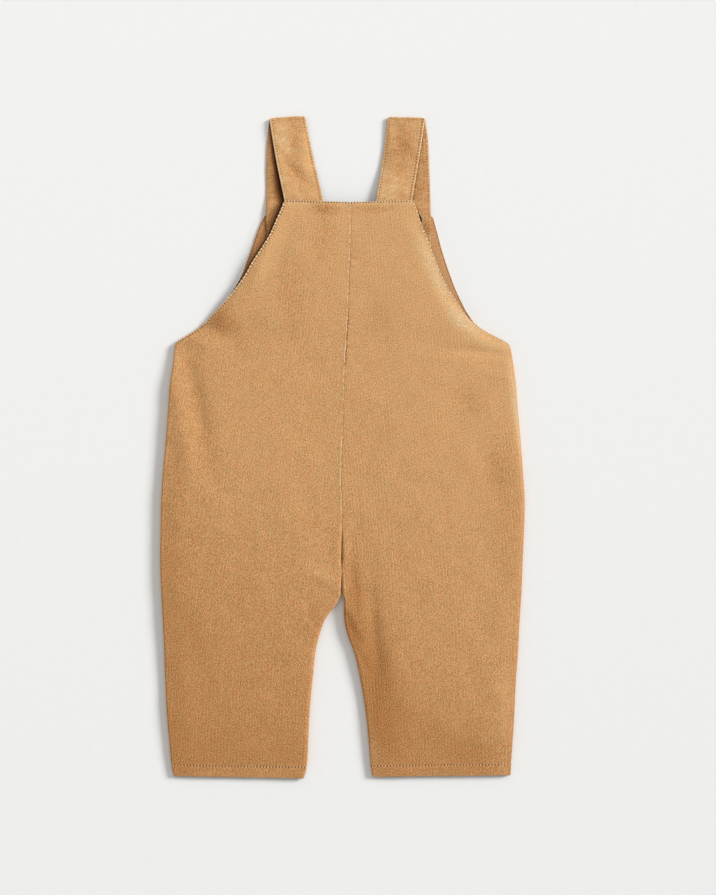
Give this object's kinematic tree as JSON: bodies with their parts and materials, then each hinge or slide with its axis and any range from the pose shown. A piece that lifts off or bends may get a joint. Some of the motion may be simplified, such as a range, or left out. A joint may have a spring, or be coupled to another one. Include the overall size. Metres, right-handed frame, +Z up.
{
  "type": "bib overalls",
  "caption": "Baby's corduroy bib overalls laid flat, back uppermost, with wide shoulder straps folded over to the front bib, curved armholes, a centre back seam and turned-up leg hems.",
  "frame": {"origin": "on the floor, at the middle of the garment's outline as it lies", "axes": "+Z up from the floor, +Y up the garment from the leg hems to the shoulder straps, +X to the right as seen from above with the straps at the top"},
  "size_m": [0.2761, 0.4997, 0.0075],
  "materials": {
    "corduroy": "camel needlecord with a soft cut pile, fine ribs running up the garment",
    "stud_enamel": "dark navy enamel, low gloss"
  },
  "bodies": {
    "root": {"back_left": "corduroy", "back_right": "corduroy", "front_left": "corduroy", "front_right": "corduroy", "strap_left": "corduroy", "strap_right": "corduroy", "stud_left": "stud_enamel", "stud_right": "stud_enamel"}
  },
  "joints": []
}
